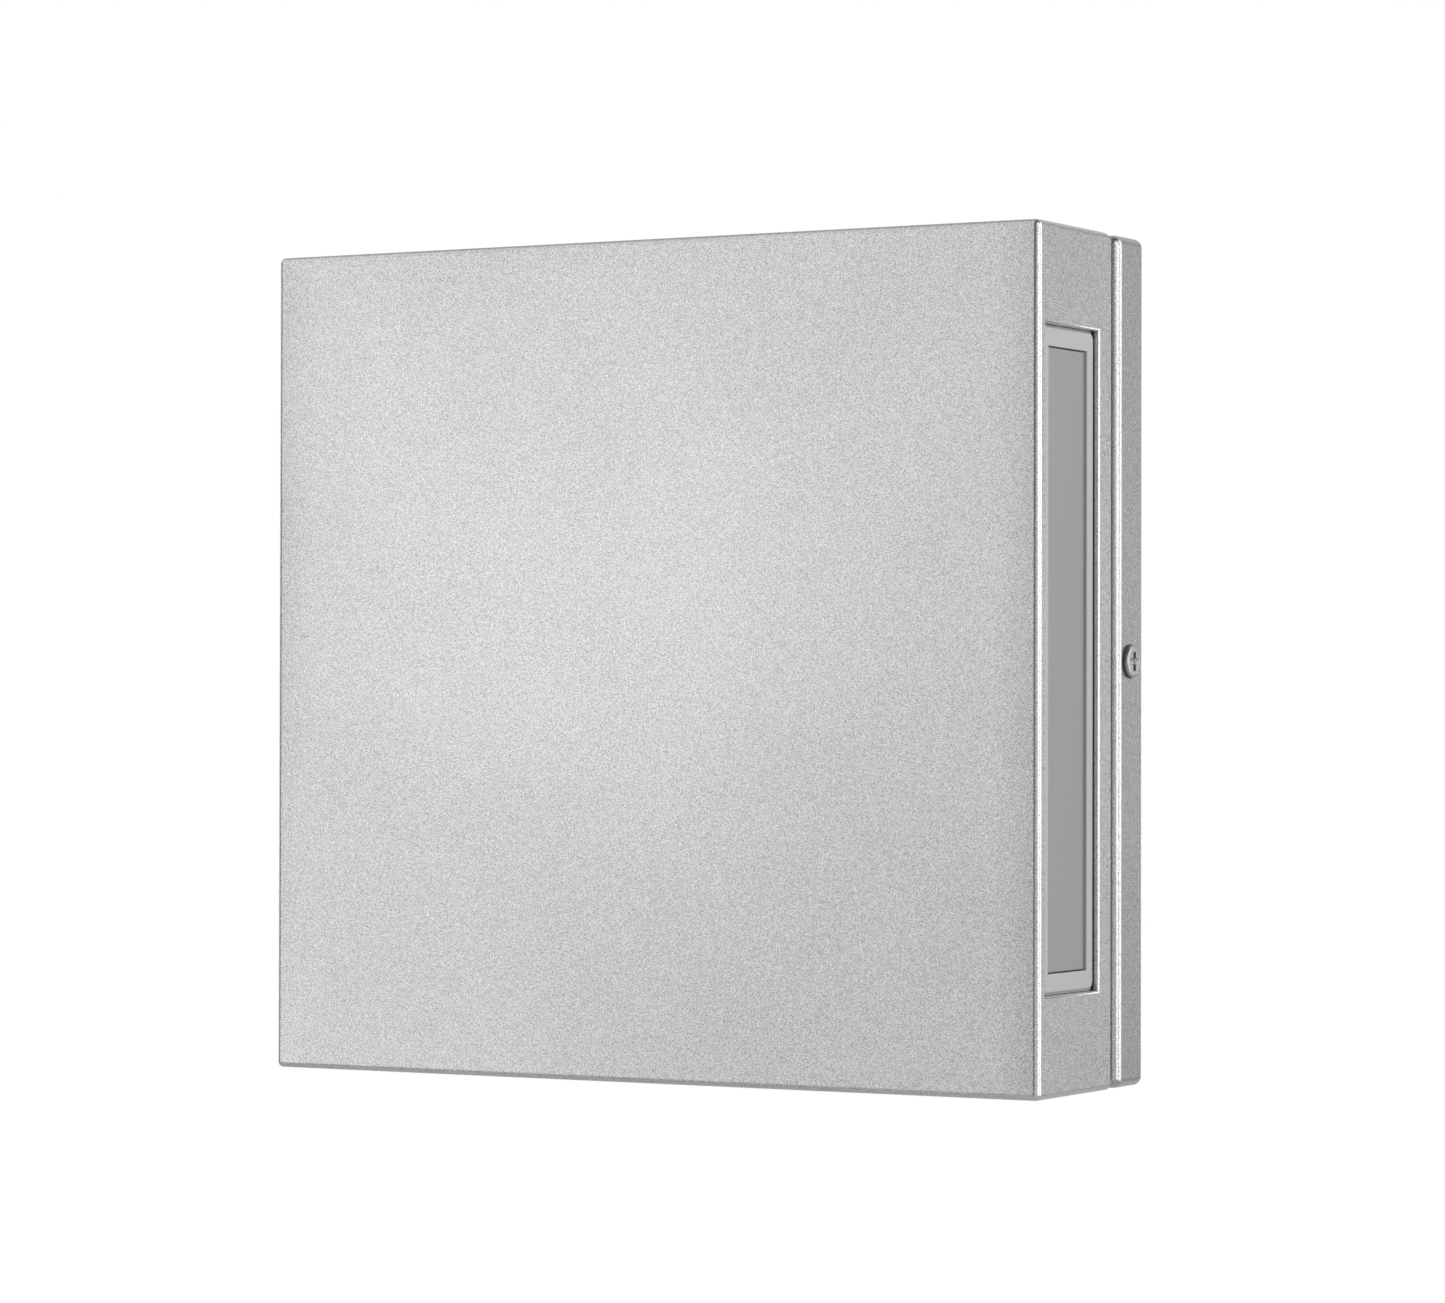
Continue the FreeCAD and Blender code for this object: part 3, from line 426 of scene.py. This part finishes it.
def round_edges(piece, radius, segments):
    """Rounds the sharp edges, and shades flat faces flat up to them."""
    bevel = piece.modifiers.new("Rounded edges", "BEVEL")
    bevel.width = radius
    bevel.segments = segments
    bevel.limit_method = "ANGLE"
    bevel.angle_limit = SHARP_ANGLE
    bevel.miter_outer = "MITER_ARC"
    bevel.use_clamp_overlap = True
    weighted = piece.modifiers.new("Flat shading", "WEIGHTED_NORMAL")
    weighted.mode = "FACE_AREA"
    weighted.weight = 80
    weighted.keep_sharp = True


def soften(node, name, radius, segments=3, finish=None):
    """Joins a solid's triangles into whole faces, rounds its edges and shades it smoothly."""
    bm = bmesh.new()
    bm.from_mesh(frame["nodes"][node].data)
    bmesh.ops.remove_doubles(bm, verts=bm.verts, dist=WELD_DISTANCE)
    bmesh.ops.dissolve_limit(
        bm,
        angle_limit=FLAT_ANGLE,
        verts=bm.verts,
        edges=bm.edges,
        use_dissolve_boundaries=False,
    )
    mesh = bpy.data.meshes.new(name)
    bm.to_mesh(mesh)
    bm.free()
    round_edges(add_piece(name, mesh, node, finish), radius, segments)


# ---- operators --------------------------------------------------------------


class LANTERN_OT_housing(bpy.types.Operator):
    """Build the painted front housing with its lens windows"""

    bl_idname = "lantern.housing"
    bl_label = "Front housing"

    def execute(self, context):
        soften("front_housing", "housing_shell", context.scene.lantern_sizes.cut_edge)
        return {"FINISHED"}


class LANTERN_OT_pan(bpy.types.Operator):
    """Build the painted wall pan with its fixing holes"""

    bl_idname = "lantern.pan"
    bl_label = "Wall pan"

    def execute(self, context):
        # The pan takes the darker copy of the coat, which is painted shade
        soften("back_pan", "wall_pan", context.scene.lantern_sizes.cut_edge, finish="pan_paint")
        return {"FINISHED"}


class LANTERN_OT_lenses(bpy.types.Operator):
    """Build the moulded lens frames and their diffusers"""

    bl_idname = "lantern.lenses"
    bl_label = "Lenses"

    def execute(self, context):
        edge = context.scene.lantern_sizes.soft_edge
        for side in SIDES:
            soften(f"{side}_lens_frame", f"{side}_frame", edge)
            soften(f"{side}_diffuser", f"{side}_panel", 0.6 * edge)
        return {"FINISHED"}


class LANTERN_OT_fixings(bpy.types.Operator):
    """Round the edges of the visible screws, nuts, spacers and the bracket"""

    bl_idname = "lantern.fixings"
    bl_label = "Fixings"

    def execute(self, context):
        edge = context.scene.lantern_sizes.machined_edge
        for side in SIDES:
            soften(f"{side}_release_screw", f"{side}_screw", 0.5 * edge, 2)
            soften(f"{side}_screw_washer", f"{side}_seal", 0.5 * edge, 2)
        for node, name in (
            ("mounting_bracket", "bracket"),
            ("rear_cover", "cover_plate"),
            ("spacers", "gap_spacers"),
            ("spacer_screws", "spacer_bolts"),
            ("nipple_nuts", "conduit_nuts"),
            ("cable_nipple", "conduit_nipple"),
            ("nipple_spacer", "conduit_sleeve"),
            ("nipple_bushings", "conduit_bushings"),
            ("ground_screw", "earth_screw"),
        ):
            soften(node, name, edge)
        return {"FINISHED"}


class LANTERN_OT_finishes(bpy.types.Operator):
    """Give every solid its finish"""

    bl_idname = "lantern.finishes"
    bl_label = "Finishes"

    def execute(self, context):
        make_materials(context.scene.lantern_finish)
        for node, solid in frame["nodes"].items():
            material = MATERIALS[slot_of(node)]
            for entry in solid.material_slots:
                entry.material = material
        return {"FINISHED"}


class LANTERN_OT_stage(bpy.types.Operator):
    """Set up the floor, the lights, the room and the camera"""

    bl_idname = "lantern.stage"
    bl_label = "Stage"

    def execute(self, context):
        stage = context.scene.lantern_stage
        make_floor()
        make_world(context.scene)
        area_light("near_lamp", stage.near_lamp, NEAR_LAMP_SIZE, NEAR_LAMP_AT, LANTERN_HEART)
        make_camera(context.scene, stage)
        context.scene.view_settings.view_transform = "Standard"
        return {"FINISHED"}


def around(azimuth, elevation, distance):
    """Point at an angle round the lantern: 0 is straight in front, 90 to its right."""
    turn = math.radians(azimuth)
    rise = math.radians(elevation)
    flat = distance * math.cos(rise)
    return Vector((flat * math.sin(turn), -flat * math.cos(turn), distance * math.sin(rise)))


NEAR_LAMP_SIZE = 0.2
NEAR_LAMP_AT = around(-32.0, 6.0, 0.7)
LANTERN_HEART = Vector((0.0, -0.03, 0.0))


def area_light(name, power, size, at, aim):
    """A square lamp that shines at a point and isn't seen by the camera."""
    data = bpy.data.lights.new(name, "AREA")
    data.shape = "RECTANGLE"
    data.size = size
    data.size_y = size
    data.energy = power
    lamp = bpy.data.objects.new(name, data)
    lamp.location = at
    lamp.visible_camera = False
    lamp.rotation_euler = (aim - at).to_track_quat("-Z", "Y").to_euler()
    bpy.context.scene.collection.objects.link(lamp)


def make_floor():
    """Plain pale floor, below the lantern."""
    bm = bmesh.new()
    bmesh.ops.create_circle(bm, cap_ends=True, radius=FLOOR_RADIUS, segments=96)
    bmesh.ops.translate(bm, vec=(0.0, 0.0, FLOOR_HEIGHT), verts=bm.verts)
    mesh = bpy.data.meshes.new("floor")
    bm.to_mesh(mesh)
    bm.free()
    floor = bpy.data.objects.new("floor", mesh)
    bpy.context.scene.collection.objects.link(floor)
    g, material = Graph.of_material("floor")
    mottle = g.noise(3.0, 3.0)
    g.finish(Base_Color=g.blend(mottle, (0.8, 0.8, 0.8), (0.84, 0.84, 0.84)), Roughness=0.8)
    mesh.materials.append(material)


# Soft boxes round the lantern: angle round it, angle above it, tightness, brightness
SOFT_BOXES = (
    (-120, 0, 6, 1.51),
    (-60, 45, 8, 1.09),
    (-44, -12, 80, 1.65),
    (-44, 12, 80, 0.90),
    (-32, 0, 120, 0.85),
    (-30, -25, 20, 1.03),
    (-30, 25, 20, 0.58),
    (-24, 12, 80, 0.66),
    (-20, 0, 120, 0.40),
    (30, -20, 20, 1.65),
    (60, 20, 20, 2.57),
    (82, 0, 50, 3.02),
    (120, -20, 20, 3.73),
    (120, 20, 20, 3.25),
    (138, 0, 50, 1.25),
    (165, 0, 50, 0.54),
    (180, 45, 8, 0.98),
)


def make_world(scene):
    """White backdrop for the camera, and soft boxes all round that light the lantern."""
    world = bpy.data.worlds.new("room")
    world.use_nodes = True
    g = Graph(world.node_tree, "Generated")
    glow = None
    for azimuth, elevation, tightness, brightness in SOFT_BOXES:
        towards = g.add(
            "VectorMath",
            {"operation": "DOT_PRODUCT"},
            {0: g.place, 1: around(azimuth, elevation, 1.0)},
            "Value",
        )
        lobe = brightness * g.math("EXPONENT", tightness * (towards - 1.0))
        glow = lobe if glow is None else glow + lobe
    white = (1.0, 1.0, 1.0, 1.0)
    room = g.add("Background", {}, {"Color": white, "Strength": glow})
    backdrop = g.add("Background", {}, {"Color": white, "Strength": 1.0})
    seen = g.add("LightPath", {}, {}, "Is Camera Ray")
    g.add("OutputWorld", {}, {"Surface": g.add("MixShader", {}, {0: seen, 1: room, 2: backdrop})})
    scene.world = world


def make_camera(scene, stage):
    """Camera at the front right, level with the lantern."""
    data = bpy.data.cameras.new("camera")
    data.sensor_width = 36.0
    data.lens = stage.lens
    camera = bpy.data.objects.new("camera", data)
    back = Vector(
        (
            math.sin(stage.yaw) * math.cos(stage.pitch),
            -math.cos(stage.yaw) * math.cos(stage.pitch),
            math.sin(stage.pitch),
        )
    )
    level = Vector((math.cos(stage.yaw), math.sin(stage.yaw), 0.0))
    lift = back.cross(level)
    right = math.cos(stage.roll) * level + math.sin(stage.roll) * lift
    up = math.cos(stage.roll) * lift - math.sin(stage.roll) * level
    turn = Matrix((right, up, back)).transposed().to_4x4()
    camera.matrix_world = Matrix.Translation(Vector(stage.camera)) @ turn
    scene.collection.objects.link(camera)
    scene.camera = camera


class LANTERN_PT_panel(bpy.types.Panel):
    """Buttons and values of the lantern"""

    bl_label = "Lantern"
    bl_idname = "LANTERN_PT_panel"
    bl_space_type = "VIEW_3D"
    bl_region_type = "UI"
    bl_category = "Lantern"

    def draw(self, context):
        layout = self.layout
        for step in STEPS:
            layout.operator(step.bl_idname)
        for group in (
            context.scene.lantern_sizes,
            context.scene.lantern_finish,
            context.scene.lantern_stage,
        ):
            for key in group.bl_rna.properties.keys():
                if key not in {"rna_type", "name"}:
                    layout.prop(group, key)


STEPS = (
    LANTERN_OT_finishes,
    LANTERN_OT_housing,
    LANTERN_OT_pan,
    LANTERN_OT_lenses,
    LANTERN_OT_fixings,
    LANTERN_OT_stage,
)
GROUPS = {
    "lantern_sizes": LanternSizes,
    "lantern_finish": LanternFinish,
    "lantern_stage": LanternStage,
}


def register():
    for item in (*GROUPS.values(), *STEPS, LANTERN_PT_panel):
        bpy.utils.register_class(item)
    for key, group in GROUPS.items():
        setattr(bpy.types.Scene, key, PointerProperty(type=group))


def unregister():
    for key in GROUPS:
        delattr(bpy.types.Scene, key)
    for item in reversed((*GROUPS.values(), *STEPS, LANTERN_PT_panel)):
        bpy.utils.unregister_class(item)


def main():
    """Builds every piece in order."""
    register()
    for step in STEPS:
        group, action = step.bl_idname.split(".")
        getattr(getattr(bpy.ops, group), action)()


if __name__ == "__main__":
    main()
